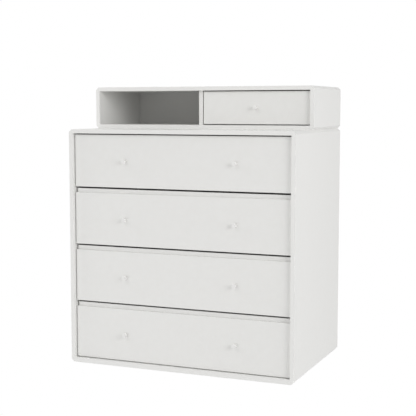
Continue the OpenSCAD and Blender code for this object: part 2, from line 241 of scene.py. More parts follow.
# %% Start a node group
def start_group(name, inputs, outputs):
    """A node group with its sockets. Each input is a name and a number or a colour."""
    tree = bpy.data.node_groups.new(name, "ShaderNodeTree")
    for label, value in inputs:
        kind = "NodeSocketFloat"
        if not isinstance(value, float):
            kind = "NodeSocketColor" if len(value) == 4 else "NodeSocketVector"
        made = tree.interface.new_socket(name=label, in_out="INPUT", socket_type=kind)
        made.default_value = value
    for label in outputs:
        kind = "NodeSocketColor" if label == "Colour" else "NodeSocketFloat"
        tree.interface.new_socket(name=label, in_out="OUTPUT", socket_type=kind)
    start = tree.nodes.new("NodeGroupInput")
    end = tree.nodes.new("NodeGroupOutput")
    return tree, start, end


print("groups have named inputs and outputs")

# %% Sprayed coat
PATCHES_PER_M = 5.0
PEEL_PER_M = 420.0
DUST_PER_M = 2600.0
DUST_SHARE = 0.15
SHEEN_SWING = 0.12

paint_skin, start, end = start_group(
    "paint_skin",
    [("Paint", WHITE), ("Patch Depth", 0.02), ("Roughness", 0.45), ("Peel", 1.0)],
    ["Colour", "Roughness", "Height"],
)
tree = paint_skin
place = add_node(tree, "ShaderNodeTexCoord")
patches = add_node(tree, "ShaderNodeTexNoise", {"Scale": PATCHES_PER_M, "Detail": 3.0})
peel = add_node(tree, "ShaderNodeTexNoise", {"Scale": PEEL_PER_M, "Detail": 1.0})
dust = add_node(tree, "ShaderNodeTexNoise", {"Scale": DUST_PER_M, "Detail": 0.0})
for noise in (patches, peel, dust):
    join(tree, place, "Object", noise, "Vector")
centred = add_node(tree, "ShaderNodeMath", {1: 0.5}, operation="SUBTRACT")
depth = add_node(tree, "ShaderNodeMath", operation="MULTIPLY")
around_one = add_node(tree, "ShaderNodeMath", {1: 1.0}, operation="ADD")
join(tree, patches, "Fac", centred, 0)
join(tree, centred, 0, depth, 0)
join(tree, start, "Patch Depth", depth, 1)
join(tree, depth, 0, around_one, 0)
tint = add_node(tree, "ShaderNodeVectorMath", operation="SCALE")
join(tree, start, "Paint", tint, 0)
join(tree, around_one, 0, tint, "Scale")
join(tree, tint, 0, end, "Colour")
sheen = add_node(tree, "ShaderNodeMath", {1: SHEEN_SWING}, operation="MULTIPLY")
rough = add_node(tree, "ShaderNodeMath", operation="ADD")
join(tree, centred, 0, sheen, 0)
join(tree, sheen, 0, rough, 0)
join(tree, start, "Roughness", rough, 1)
join(tree, rough, 0, end, "Roughness")
waves = add_node(tree, "ShaderNodeMath", operation="MULTIPLY")
specks = add_node(tree, "ShaderNodeMath", {1: DUST_SHARE}, operation="MULTIPLY_ADD")
join(tree, peel, "Fac", waves, 0)
join(tree, start, "Peel", waves, 1)
join(tree, dust, "Fac", specks, 0)
join(tree, waves, 0, specks, 2)
join(tree, specks, 0, end, "Height")
print("paint_skin", len(tree.nodes), "nodes")

# %% Rubbed edges
RUB_PER_M = 60.0
EDGE_MARK = "eased_edge"

edge_rub, start, end = start_group(
    "edge_rub",
    [("Colour", WHITE), ("Worn Colour", WHITE), ("Roughness", 0.45), ("Worn Roughness", 0.3),
     ("Amount", 0.3)],
    ["Colour", "Roughness"],
)
tree = edge_rub
mark = add_node(tree, "ShaderNodeAttribute", attribute_name=EDGE_MARK)
place = add_node(tree, "ShaderNodeTexCoord")
broken = add_node(tree, "ShaderNodeTexNoise", {"Scale": RUB_PER_M, "Detail": 4.0})
join(tree, place, "Object", broken, "Vector")
spread = add_node(tree, "ShaderNodeMapRange", {"From Min": 0.35, "From Max": 0.65})
join(tree, broken, "Fac", spread, "Value")
where = add_node(tree, "ShaderNodeMath", operation="MULTIPLY")
amount = add_node(tree, "ShaderNodeMath", operation="MULTIPLY")
join(tree, mark, "Fac", where, 0)
join(tree, spread, "Result", where, 1)
join(tree, where, 0, amount, 0)
join(tree, start, "Amount", amount, 1)
worn = add_node(tree, "ShaderNodeMix", data_type="RGBA")
join(tree, amount, 0, worn, "Factor")
join(tree, start, "Colour", worn, MIX_COLOUR_A)
join(tree, start, "Worn Colour", worn, MIX_COLOUR_B)
join(tree, worn, MIX_COLOUR_OUT, end, "Colour")
smooth = add_node(tree, "ShaderNodeMix", data_type="FLOAT")
join(tree, amount, 0, smooth, "Factor")
join(tree, start, "Roughness", smooth, MIX_NUMBER_A)
join(tree, start, "Worn Roughness", smooth, MIX_NUMBER_B)
join(tree, smooth, 0, end, "Roughness")
print("edge_rub", len(tree.nodes), "nodes")

# %% Drawn-out grain
long_grain, start, end = start_group(
    "long_grain",
    [("Light", WHITE), ("Dark", (0.5, 0.5, 0.5, 1.0)), ("Stretch", (1.0, 1.0, 1.0)),
     ("Scale", 100.0), ("Low", 0.3), ("High", 0.7)],
    ["Colour", "Mask"],
)
tree = long_grain
place = add_node(tree, "ShaderNodeTexCoord")
drawn = add_node(tree, "ShaderNodeVectorMath", operation="MULTIPLY")
join(tree, place, "Object", drawn, 0)
join(tree, start, "Stretch", drawn, 1)
lines = add_node(tree, "ShaderNodeTexNoise", {"Detail": 6.0, "Roughness": 0.6})
join(tree, drawn, 0, lines, "Vector")
join(tree, start, "Scale", lines, "Scale")
spread = add_node(tree, "ShaderNodeMapRange")
join(tree, lines, "Fac", spread, "Value")
join(tree, start, "Low", spread, "From Min")
join(tree, start, "High", spread, "From Max")
shade = add_node(tree, "ShaderNodeMix", data_type="RGBA")
join(tree, spread, "Result", shade, "Factor")
join(tree, start, "Light", shade, MIX_COLOUR_A)
join(tree, start, "Dark", shade, MIX_COLOUR_B)
join(tree, shade, MIX_COLOUR_OUT, end, "Colour")
join(tree, spread, "Result", end, "Mask")
print("long_grain", len(tree.nodes), "nodes")

# %% [markdown]
# ## Finishes
# Each finish starts in the same way: a material with a Principled shader, whose own sockets
# take the numbers that are even all over, and a Bump node for the fine relief.


# %% Start a finish
def start_finish(name, relief, **even):
    """A material, its tree, its shader and its Bump node. relief is the bump's height in mm."""
    made = bpy.data.materials.new(name)
    made.use_nodes = True
    tree = made.node_tree
    shader = tree.nodes["Principled BSDF"]
    for key, value in even.items():
        shader.inputs[key.replace("_", " ")].default_value = value
    bump = add_node(tree, "ShaderNodeBump", {"Strength": 1.0, "Distance": relief * MM})
    join(tree, bump, "Normal", shader, "Normal")
    return made, tree, shader, bump


def place_group(tree, group, inputs):
    """A shared effect placed in a material with its own values."""
    made = add_node(tree, "ShaderNodeGroup", node_tree=group)
    for key, value in inputs.items():
        made.inputs[key].default_value = value
    return made


finishes = {}
print("finishes are kept by the record's slot names")

# %% [markdown]
# ### White lacquer
# The cases and the fronts are sprayed in a satin white, a trace warm. The photo shows no
# grain, no brush mark and no reflection, so the coat is smooth and fairly matt, with orange
# peel that only shows close up. At the rounded edges the coat is thinner and more polished.

# %% White lacquer
LACQUER = (0.800, 0.797, 0.780, 1.0)
LACQUER_WORN = (0.77, 0.765, 0.745, 1.0)
LACQUER_ROUGH = 0.46
PATCH_DEPTH = 0.02
EDGE_SHINE = 0.12


def sprayed(name, paint, roughness, peel, relief, worn, rub):
    """A sprayed coat with rubbed edges, from the two shared groups."""
    made, tree, shader, bump = start_finish(name, relief)
    coat = place_group(
        tree, paint_skin,
        {"Paint": paint, "Patch Depth": PATCH_DEPTH, "Roughness": roughness, "Peel": peel},
    )
    edges = place_group(
        tree, edge_rub,
        {"Worn Colour": worn, "Worn Roughness": roughness - EDGE_SHINE, "Amount": rub},
    )
    join(tree, coat, "Colour", edges, "Colour")
    join(tree, coat, "Roughness", edges, "Roughness")
    join(tree, edges, "Colour", shader, "Base Color")
    join(tree, edges, "Roughness", shader, "Roughness")
    join(tree, coat, "Height", bump, "Height")
    return made


finishes["white_lacquer"] = sprayed(
    "white_lacquer", LACQUER, LACQUER_ROUGH, peel=1.0, relief=0.02, worn=LACQUER_WORN, rub=0.35
)
print("white_lacquer", LACQUER)

# %% [markdown]
# ### Knob paint
# The knobs are as white as the fronts, from a finer spray on turned metal.

# %% Knob paint
KNOB_PAINT = (0.815, 0.812, 0.797, 1.0)
KNOB_WORN = (0.79, 0.785, 0.77, 1.0)
KNOB_ROUGH = 0.62

finishes["knob_paint"] = sprayed(
    "knob_paint", KNOB_PAINT, KNOB_ROUGH, peel=0.5, relief=0.01, worn=KNOB_WORN, rub=0.3
)
print("knob_paint", KNOB_PAINT)

# %% [markdown]
# ### Drawer board
# The drawer boxes are particle board in matt white foil. The foil has short embossed pores
# along the board, and the sawn edges are a trace greyer, which the edge mark shows.

# %% Drawer board
FOIL = (0.760, 0.757, 0.742, 1.0)
PORES = (0.725, 0.722, 0.705, 1.0)
SAWN_EDGE = (0.70, 0.69, 0.66, 1.0)

made, tree, shader, bump = start_finish("drawer_board", 0.05, Specular_IOR_Level=0.4)
grain = place_group(
    tree, long_grain,
    {"Light": FOIL, "Dark": PORES, "Stretch": (1.0, 0.06, 1.0), "Scale": 900.0, "Low": 0.52,
     "High": 0.68},
)
edges = place_group(
    tree, edge_rub,
    {"Worn Colour": SAWN_EDGE, "Worn Roughness": 0.5, "Amount": 0.6, "Roughness": 0.6},
)
join(tree, grain, "Colour", edges, "Colour")
join(tree, edges, "Colour", shader, "Base Color")
join(tree, edges, "Roughness", shader, "Roughness")
sunk = add_node(tree, "ShaderNodeMath", {0: 1.0}, operation="SUBTRACT")
join(tree, grain, "Mask", sunk, 1)
join(tree, sunk, 0, bump, "Height")
finishes["drawer_board"] = made
print("drawer_board", FOIL)

# %% [markdown]
# ### Back sheet
# Hardboard is smooth and painted on its front. Its rear face keeps the print of the wire
# screen that it was pressed on, a fine raised mesh, and is left in its own dull tone. The
# rear faces point along +Y, which the surface's own normal tells.

# %% Back sheet
SHEET_PAINT = (0.790, 0.787, 0.770, 1.0)
SHEET_RAW = (0.42, 0.29, 0.18, 1.0)
SHEET_RAW_DARK = (0.30, 0.20, 0.12, 1.0)
SCREEN_PER_M = 520.0
FACES_REAR = 0.5

made, tree, shader, bump = start_finish("back_sheet", 0.12, Specular_IOR_Level=0.35)
coat = place_group(
    tree, paint_skin,
    {"Paint": SHEET_PAINT, "Patch Depth": 0.03, "Roughness": 0.58, "Peel": 0.3},
)
raw = place_group(
    tree, long_grain,
    {"Light": SHEET_RAW, "Dark": SHEET_RAW_DARK, "Stretch": (1.0, 1.0, 1.0), "Scale": 140.0},
)
place = add_node(tree, "ShaderNodeTexCoord")
turned = add_node(tree, "ShaderNodeSeparateXYZ")
join(tree, place, "Normal", turned, 0)
rear = add_node(tree, "ShaderNodeMath", {1: FACES_REAR}, operation="GREATER_THAN")
join(tree, turned, "Y", rear, 0)
side_pick = add_node(tree, "ShaderNodeMix", data_type="RGBA")
join(tree, rear, 0, side_pick, "Factor")
join(tree, coat, "Colour", side_pick, MIX_COLOUR_A)
join(tree, raw, "Colour", side_pick, MIX_COLOUR_B)
join(tree, side_pick, MIX_COLOUR_OUT, shader, "Base Color")
join(tree, coat, "Roughness", shader, "Roughness")
across = add_node(tree, "ShaderNodeSeparateXYZ")
join(tree, place, "Object", across, 0)
mesh_waves = []
for axis in ("X", "Z"):
    phase = add_node(
        tree, "ShaderNodeMath", {1: SCREEN_PER_M * 2 * math.pi}, operation="MULTIPLY"
    )
    wave = add_node(tree, "ShaderNodeMath", operation="SINE")
    join(tree, across, axis, phase, 0)
    join(tree, phase, 0, wave, 0)
    mesh_waves.append(wave)
crossed = add_node(tree, "ShaderNodeMath", operation="MULTIPLY")
join(tree, mesh_waves[0], 0, crossed, 0)
join(tree, mesh_waves[1], 0, crossed, 1)
printed = add_node(tree, "ShaderNodeMath", operation="MULTIPLY")
join(tree, crossed, 0, printed, 0)
join(tree, rear, 0, printed, 1)
join(tree, printed, 0, bump, "Height")
finishes["back_sheet"] = made
print("back_sheet", SHEET_PAINT)

# %% [markdown]
# ### Raw plywood
# The hanging rail and the wall batten are plywood, planed and left raw. Their broad faces
# have long veneer grain along the rail, and every other face shows the stack of thin plies.

# %% Raw plywood
VENEER = (0.60, 0.43, 0.26, 1.0)
VENEER_DARK = (0.47, 0.31, 0.17, 1.0)
PLY_LIGHT = (0.62, 0.45, 0.28, 1.0)
PLY_DARK = (0.36, 0.23, 0.12, 1.0)
PLY_MM = 1.4
FACES_BROAD = 0.8

made, tree, shader, bump = start_finish("rail_wood", 0.08, Roughness=0.7)
veneer = place_group(
    tree, long_grain,
    {"Light": VENEER, "Dark": VENEER_DARK, "Stretch": (0.05, 1.0, 1.0), "Scale": 260.0},
)
place = add_node(tree, "ShaderNodeTexCoord")
turned = add_node(tree, "ShaderNodeSeparateXYZ")
across = add_node(tree, "ShaderNodeSeparateXYZ")
join(tree, place, "Normal", turned, 0)
join(tree, place, "Object", across, 0)
stack = add_node(tree, "ShaderNodeMath", {1: math.pi / (PLY_MM * MM)}, operation="MULTIPLY")
stripes = add_node(tree, "ShaderNodeMath", operation="SINE")
join(tree, across, "Y", stack, 0)
join(tree, stack, 0, stripes, 0)
hard = add_node(tree, "ShaderNodeMapRange", {"From Min": -0.25, "From Max": 0.25})
join(tree, stripes, 0, hard, "Value")
plies = add_node(tree, "ShaderNodeMix", data_type="RGBA")
plies.inputs[MIX_COLOUR_A].default_value = PLY_DARK
plies.inputs[MIX_COLOUR_B].default_value = PLY_LIGHT
join(tree, hard, "Result", plies, "Factor")
facing = add_node(tree, "ShaderNodeMath", operation="ABSOLUTE")
broad = add_node(tree, "ShaderNodeMath", {1: FACES_BROAD}, operation="GREATER_THAN")
join(tree, turned, "Y", facing, 0)
join(tree, facing, 0, broad, 0)
wood = add_node(tree, "ShaderNodeMix", data_type="RGBA")
join(tree, broad, 0, wood, "Factor")
join(tree, plies, MIX_COLOUR_OUT, wood, MIX_COLOUR_A)
join(tree, veneer, "Colour", wood, MIX_COLOUR_B)
join(tree, wood, MIX_COLOUR_OUT, shader, "Base Color")
join(tree, veneer, "Mask", bump, "Height")
finishes["rail_wood"] = made
print("rail_wood", VENEER)

# %% [markdown]
# ### Zinc-plated steel
# The runners and screws are rolled steel with a thin zinc coat. Rolling leaves fine lines
# along the strip, and the zinc has crystals of slightly different gloss.

# %% Zinc-plated steel
ZINC = (0.62, 0.63, 0.64, 1.0)
ZINC_DARK = (0.50, 0.51, 0.53, 1.0)
CRYSTALS_PER_M = 160.0

made, tree, shader, bump = start_finish("zinc_steel", 0.01, Metallic=1.0)
lines = place_group(
    tree, long_grain,
    {"Light": ZINC, "Dark": ZINC_DARK, "Stretch": (1.0, 0.03, 1.0), "Scale": 1500.0},
)
place = add_node(tree, "ShaderNodeTexCoord")
crystals = add_node(tree, "ShaderNodeTexVoronoi", {"Scale": CRYSTALS_PER_M})
join(tree, place, "Object", crystals, "Vector")
gloss = add_node(tree, "ShaderNodeMapRange", {"To Min": 0.30, "To Max": 0.46})
join(tree, crystals, "Color", gloss, "Value")
join(tree, gloss, "Result", shader, "Roughness")
join(tree, lines, "Colour", shader, "Base Color")
join(tree, lines, "Mask", bump, "Height")
finishes["zinc_steel"] = made
print("zinc_steel", ZINC)

# %% [markdown]
# ## Finish on every CAD piece
# Every node takes the finish of its slot first. The runners, the drawer bottoms and the lower
# back sheet stay as the CAD has them. The other nodes are replaced further on by pieces with
# more detail.

# %% Put the finishes on
for name, node in nodes.items():
    node.data.materials.clear()
    node.data.materials.append(finishes[slot_of[name]])
print("finishes on", len(nodes), "nodes")

# %% [markdown]
# ## Working in edit mode
# Operators act on whatever is selected, and loading the frame leaves its nodes selected, so
# a helper selects one object alone. Another picks faces or edges by a test on their place or
# direction, which is what a click would do by hand. SQUARE_ON is how closely the normal of a
# face has to follow an axis before the face counts as square to it.

# %% Selection helpers
SQUARE_ON = 0.999


def select_only(piece):
    """Makes one object the only selected and the active one."""
    bpy.ops.object.select_all(action="DESELECT")
    piece.select_set(True)
    bpy.context.view_layer.objects.active = piece


def pick(piece, kind, test):
    """In edit mode, selects just the faces or edges that pass the test. Returns how many."""
    bpy.ops.mesh.select_mode(type="FACE" if kind == "faces" else "EDGE")
    bpy.ops.mesh.select_all(action="DESELECT")
    shape = bmesh.from_edit_mesh(piece.data)
    shape.normal_update()
    chosen = [item for item in getattr(shape, kind) if test(item)]
    for item in chosen:
        item.select_set(True)
    bmesh.update_edit_mesh(piece.data)
    return len(chosen)


def finish_piece(piece, body, slot):
    """The record's slot, its finish, and the body that the piece rides on."""
    piece.data.materials.clear()
    piece.data.materials.append(finishes[slot])
    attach(piece, body)
    return piece


print("selection helpers ready")

# %% [markdown]
# ## Boards with eased edges
# No painted board has a knife edge. A maker takes the corners off with fine paper before
# spraying, because paint won't stay on a sharp edge, and that thin rounded line is what
# catches the light round each front. Each board starts as a copy of its CAD mesh, with its
# corner points merged and its flat faces made whole, so a bevel runs along clean edges.
#
# Only edges between two outside faces are rounded. The mitred ends of the case panels stay
# sharp: they are glued together, and the paint covers the joint. A mitre is told from the
# cut-off outer corner by its direction, seen from the middle of its case. An inner front that
# stands up behind its front is the grip of its drawer, so its top rear edge, where the
# fingers hook over, gets a much larger round first, and the two free ends of that strip are
# rounded as well. A bisect cut at the front's top edge tells the strip from the board below.

# %% Copy a CAD board
MERGE_MM = 0.001
FLAT_ANGLE = math.radians(0.5)
EDGE_ANGLE = math.radians(20)
SMOOTH_ANGLE = math.radians(40)
ON_BOX = 1e-5
CUT_OFF = 1.3
GRIP_MM = 7.0
STRIP_END_MM = 5.0
EASE_STEPS = 3
GRIP_STEPS = 6
STRIP_END_STEPS = 5
FULL_WEIGHT = 100


def copy_board(node, name):
    """A new object with the node's mesh, its doubles merged and its flat faces whole."""
    board = bpy.data.objects.new(name, nodes[node].data.copy())
    scene.collection.objects.link(board)
    select_only(board)
    bpy.ops.mesh.customdata_custom_splitnormals_clear()
    bpy.ops.object.mode_set(mode="EDIT")
    bpy.ops.mesh.select_all(action="SELECT")
    bpy.ops.mesh.remove_doubles(threshold=MERGE_MM * MM)
    bpy.ops.mesh.dissolve_limited(angle_limit=FLAT_ANGLE)
    bpy.ops.object.mode_set(mode="OBJECT")
    return board


def case_middle(*panels):
    """The middle of a case, from the boxes of its panels."""
    lows, highs = zip(*(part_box(panel) for panel in panels))
    low = Vector(min(corner[i] for corner in lows) for i in range(3))
    high = Vector(max(corner[i] for corner in highs) for i in range(3))
    return (low + high) / 2


LOWER_CASE = ("lower_left_side", "lower_right_side", "lower_top", "lower_bottom")
UPPER_CASE = ("upper_left_side", "upper_right_side", "upper_top", "upper_bottom")
lower_middle = case_middle(*LOWER_CASE)
upper_middle = case_middle(*UPPER_CASE)
print("case middles", lower_middle, upper_middle)


# %% Round the outer edges
def is_outside(face, low, high, middle):
    """True for a face on the board's own box, or one that cuts off a corner of its case."""
    at = face.calc_center_median()
    for axis in range(3):
        if face.normal[axis] > SQUARE_ON and abs(at[axis] - high[axis]) < ON_BOX:
            return True
        if face.normal[axis] < -SQUARE_ON and abs(at[axis] - low[axis]) < ON_BOX:
            return True
    if middle is None:
        return False
    from_middle = at - middle
    side = math.copysign(1.0, from_middle.x)
    level = math.copysign(1.0, from_middle.z)
    return face.normal.x * side + face.normal.z * level > CUT_OFF


def ease(board, node, radius_mm, middle=None):
    """Rounds the board's outer edges and marks the new faces for the edge_rub effect."""
    low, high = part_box(node)

    def outer_edge(edge):
        faces = edge.link_faces
        if len(faces) != 2 or not edge.is_convex:
            return False
        if edge.calc_face_angle() < EDGE_ANGLE:
            return False
        return all(is_outside(face, low, high, middle) for face in faces)

    select_only(board)
    bpy.ops.object.mode_set(mode="EDIT")
    count = pick(board, "edges", outer_edge)
    bpy.ops.mesh.bevel(
        offset=radius_mm * MM, segments=EASE_STEPS, profile=0.5, affect="EDGES",
        clamp_overlap=True,
    )
    shape = bmesh.from_edit_mesh(board.data)
    mark = shape.loops.layers.float.new(EDGE_MARK)
    for face in shape.faces:
        for corner in face.loops:
            corner[mark] = 1.0 if face.select else 0.0
    bmesh.update_edit_mesh(board.data)
    bpy.ops.object.mode_set(mode="OBJECT")
    return count


def shade_board(board):
    """Smooth over the rounded edges while the flat faces stay flat."""
    select_only(board)
    bpy.ops.object.shade_smooth_by_angle(angle=SMOOTH_ANGLE)
    weighted = board.modifiers.new("weighted", "WEIGHTED_NORMAL")
    weighted.keep_sharp = True
    weighted.weight = FULL_WEIGHT
    bpy.ops.object.modifier_apply(modifier="weighted")


def round_grip(board, node, radius_mm):
    """Rounds the top rear edge, where the fingers hook over."""
    top_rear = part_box(node)[1]

    def grip_edge(edge):
        ends = [vert.co for vert in edge.verts]
        return all(
            abs(end.y - top_rear.y) < ON_BOX and abs(end.z - top_rear.z) < ON_BOX
            for end in ends
        )

    select_only(board)
    bpy.ops.object.mode_set(mode="EDIT")
    pick(board, "edges", grip_edge)
    bpy.ops.mesh.bevel(
        offset=radius_mm * MM, segments=GRIP_STEPS, profile=0.5, affect="EDGES"
    )
    bpy.ops.object.mode_set(mode="OBJECT")


def round_strip_ends(board, node, level, radius_mm):
    """Rounds the front end corners of a board, but only above a level."""
    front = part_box(node)[0]

    def end_edge(edge):
        first, second = (vert.co for vert in edge.verts)
        upright = abs(first.x - second.x) < ON_BOX and abs(first.y - second.y) < ON_BOX
        at_front = abs(first.y - front.y) < ON_BOX
        return upright and at_front and min(first.z, second.z) > level - ON_BOX

    select_only(board)
    bpy.ops.object.mode_set(mode="EDIT")
    bpy.ops.mesh.select_all(action="SELECT")
    bpy.ops.mesh.bisect(plane_co=(0.0, 0.0, level), plane_no=(0.0, 0.0, 1.0))
    pick(board, "edges", end_edge)
    bpy.ops.mesh.bevel(
        offset=radius_mm * MM, segments=STRIP_END_STEPS, profile=0.5, affect="EDGES"
    )
    bpy.ops.object.mode_set(mode="OBJECT")


def eased_board(node, radius_mm, middle=None, strip_level=None):
    """The finished board that stands for a CAD node."""
    board = copy_board(node, node + "_board")
    if strip_level is not None:
        round_grip(board, node, GRIP_MM)
        round_strip_ends(board, node, strip_level, STRIP_END_MM)
    count = ease(board, node, radius_mm, middle)
    shade_board(board)
    finish_piece(board, body_of[node], slot_of[node])
    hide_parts(node)
    return count


print("edge helpers ready")

# %% Ease the case panels
CASE_EASE_MM = 0.5
for node in LOWER_CASE:
    print(node, eased_board(node, CASE_EASE_MM, lower_middle), "edges")
for node in UPPER_CASE:
    print(node, eased_board(node, CASE_EASE_MM, upper_middle), "edges")
print("upper_divider", eased_board("upper_divider", CASE_EASE_MM), "edges")

# %% [markdown]
# ## Drawer boards
# The fronts and the inner fronts are eased like the cases. Three inner fronts have a grip
# along their top. The boards of the drawer boxes keep the small radius of a foil edge.

# %% Ease the drawer boards
FRONT_EASE_MM = 0.5
INNER_EASE_MM = 0.5
BOX_EASE_MM = 0.4
drawers = [body for body in bodies if body != "cabinet"]
for drawer in drawers:
    rounded = eased_board(drawer + "_front", FRONT_EASE_MM)
    inner = drawer + "_inner_front"
    front_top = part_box(drawer + "_front")[1].z
    has_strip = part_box(inner)[1].z > front_top + MM
    rounded += eased_board(inner, INNER_EASE_MM, strip_level=front_top if has_strip else None)
    for board in ("left_side", "right_side", "back"):
        rounded += eased_board(drawer + "_" + board, BOX_EASE_MM)
    print(drawer, rounded, "edges")

# %% [markdown]
# ## Hanging rail and wall batten
# Both are bevelled at 45 degrees, and hook into each other. Their long edges are only
# broken with paper, so that they don't splinter.

# %% Ease the rail and the batten
RAIL_EASE_MM = 0.7
for node in ("hanging_rail", "wall_batten"):
    print(node, eased_board(node, RAIL_EASE_MM), "edges")

# %% [markdown]
# ## Knobs
# Each knob is turned, and a little narrower at its foot than at its face. It starts as a
# cylinder primitive lying on the front, whose foot is scaled down. The rim of its face is
# rounded with a bevel, the face gets a very low crown, as a lathe leaves it, and a fine
# chamfer at the foot makes the thin dark line where it meets the front. It is modelled once
# and copied to all nine places, each with its own mesh.

# %% Model one knob
KNOB_RIM_MM = 0.8
KNOB_CROWN_MM = 0.15
KNOB_FOOT_D_MM = 9.6
KNOB_CHAMFER_MM = 0.25
KNOB_SIDES = 64
RIM_STEPS = 5
CROWN_STEPS = (0.35, 0.35, 0.2)
CROWN_REACH = 0.85
KNOB_SMOOTH = math.radians(50)

knob_names = [name for name in nodes if name.endswith("_knob")]
low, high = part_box(knob_names[0])
knob_r = (high.x - low.x) / 2
knob_l = high.y - low.y
body_l = knob_l - KNOB_CROWN_MM * MM
bpy.ops.object.select_all(action="DESELECT")
bpy.ops.mesh.primitive_cylinder_add(
    vertices=KNOB_SIDES, radius=knob_r, depth=body_l, location=(0.0, 0.0, 0.0),
    rotation=(math.pi / 2, 0.0, 0.0),
)
knob = bpy.context.object
knob.name = "knob_pattern"
bpy.ops.object.transform_apply(location=False, rotation=True, scale=True)
bpy.ops.object.mode_set(mode="EDIT")


def on_cap(edge, way):
    """True for an edge round the knob's face (way -1) or its foot (way 1)."""
    middle = (edge.verts[0].co + edge.verts[1].co) / 2
    return abs(middle.y - way * body_l / 2) < ON_BOX


pick(knob, "faces", lambda face: face.normal.y > SQUARE_ON)
foot_share = KNOB_FOOT_D_MM * MM / (2 * knob_r)
bpy.ops.transform.resize(value=(foot_share, 1.0, foot_share))
pick(knob, "edges", lambda edge: on_cap(edge, 1))
bpy.ops.mesh.bevel(offset=KNOB_CHAMFER_MM * MM, segments=1, affect="EDGES")
pick(knob, "edges", lambda edge: on_cap(edge, -1))
bpy.ops.mesh.bevel(offset=KNOB_RIM_MM * MM, segments=RIM_STEPS, profile=0.5, affect="EDGES")
pick(knob, "faces", lambda face: face.normal.y < -SQUARE_ON)
for step in CROWN_STEPS:
    bpy.ops.mesh.inset(thickness=step * knob_r * CROWN_REACH, depth=0.0)
    lift = KNOB_CROWN_MM * MM * step
    bpy.ops.transform.translate(value=(0.0, -lift, 0.0))
bpy.ops.object.mode_set(mode="OBJECT")
print("knob", round(knob_r / MM, 2), "mm radius,", len(knob.data.polygons), "faces")

# %% Copy it to the nine places
select_only(knob)
bpy.ops.object.shade_smooth_by_angle(angle=KNOB_SMOOTH)
for name in knob_names:
    low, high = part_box(name)
    middle = (low + high) / 2
    middle.y += KNOB_CROWN_MM * MM / 2
    made = bpy.data.objects.new(name + "_turned", knob.data.copy())
    made.data.transform(Matrix.Translation(middle))
    scene.collection.objects.link(made)
    finish_piece(made, body_of[name], "knob_paint")
    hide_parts(name)
bpy.data.objects.remove(knob)
print(len(knob_names), "knobs")

# %% [markdown]
# ## Screws
# Open a drawer, and the fixings show. Pan-head screws hold the knobs from inside, pull the
# front and the inner front together, and fix both halves of each runner. One head is
# modelled: a short cylinder, its rim rounded over, and a cross recess cut with two crossed
# wedges. Its copies are turned to their places and joined into one piece for each body.

# %% Model one screw head
HEAD_R_MM = 3.5
HEAD_H_MM = 2.1
HEAD_ROUND_MM = 1.1
CROSS_L_MM = 4.0
CROSS_W_MM = 0.9
CROSS_DEEP_MM = 1.4
CROSS_TAPER = 0.45
HEAD_SIDES = 28
HEAD_STEPS = 4
NEAR_TOP = 0.9
SCREW_SMOOTH = math.radians(35)
UP = Vector((0.0, 0.0, 1.0))
DOWN = Vector((0.0, 0.0, -1.0))


def fuse(piece, tool, operation):
    """Joins or cuts a piece with a tool by a Boolean modifier, applied at once."""
    select_only(piece)
    change = piece.modifiers.new("change", "BOOLEAN")
    change.operation = operation
    change.solver = "EXACT"
    change.object = tool
    bpy.ops.object.modifier_apply(modifier="change")
    bpy.data.objects.remove(tool)


def stand_at(at, way):
    """The matrix that takes a pattern to a point and turns its Z axis to a direction."""
    return Matrix.Translation(at) @ way.to_track_quat("Z", "Y").to_matrix().to_4x4()


def cross_cutter(at, way):
    """Two crossed wedges whose wide ends lie at a point and whose narrow ends point on."""
    halves = []
    for size in ((CROSS_L_MM, CROSS_W_MM), (CROSS_W_MM, CROSS_L_MM)):
        bpy.ops.object.select_all(action="DESELECT")
        bpy.ops.mesh.primitive_cube_add(size=1.0)
        wedge = bpy.context.object
        wedge.scale = (size[0] * MM, size[1] * MM, 2 * CROSS_DEEP_MM * MM)
        bpy.ops.object.transform_apply(location=False, rotation=False, scale=True)
        bpy.ops.object.mode_set(mode="EDIT")
        pick(wedge, "faces", lambda face: face.normal.z > SQUARE_ON)
        bpy.ops.transform.resize(value=(CROSS_TAPER, CROSS_TAPER, 1.0))
        bpy.ops.object.mode_set(mode="OBJECT")
        halves.append(wedge)
    first, second = halves
    fuse(first, second, "UNION")
    first.name = "cross"
    first.data.transform(stand_at(at, way))
    return first


bpy.ops.object.select_all(action="DESELECT")
bpy.ops.mesh.primitive_cylinder_add(
    vertices=HEAD_SIDES, radius=HEAD_R_MM * MM, depth=HEAD_H_MM * MM,
    location=(0.0, 0.0, HEAD_H_MM * MM / 2),
)
screw_head = bpy.context.object
screw_head.name = "screw_head_pattern"
bpy.ops.object.transform_apply(location=True, rotation=False, scale=False)
bpy.ops.object.mode_set(mode="EDIT")
rim_level = HEAD_H_MM * MM * NEAR_TOP
pick(screw_head, "edges", lambda edge: min(v.co.z for v in edge.verts) > rim_level)
bpy.ops.mesh.bevel(
    offset=HEAD_ROUND_MM * MM, segments=HEAD_STEPS, profile=0.5, affect="EDGES"
)
bpy.ops.object.mode_set(mode="OBJECT")
top_of_head = Vector((0.0, 0.0, HEAD_H_MM * MM))
fuse(screw_head, cross_cutter(top_of_head, DOWN), "DIFFERENCE")
select_only(screw_head)
bpy.ops.object.shade_smooth_by_angle(angle=SCREW_SMOOTH)
print("screw head", len(screw_head.data.polygons), "faces")


# %% Screw rows
def place_copies(pattern, name, body, slot, places):
    """Copies of a pattern at points, each turned to its direction, joined into one piece."""
    copies = []
    for at, way in places:
        made = bpy.data.objects.new(name, pattern.data.copy())
        made.data.transform(stand_at(at, way))
        scene.collection.objects.link(made)
        copies.append(made)
    select_only(copies[0])
    for made in copies[1:]:
        made.select_set(True)
    bpy.ops.object.join()
    return finish_piece(copies[0], body, slot)


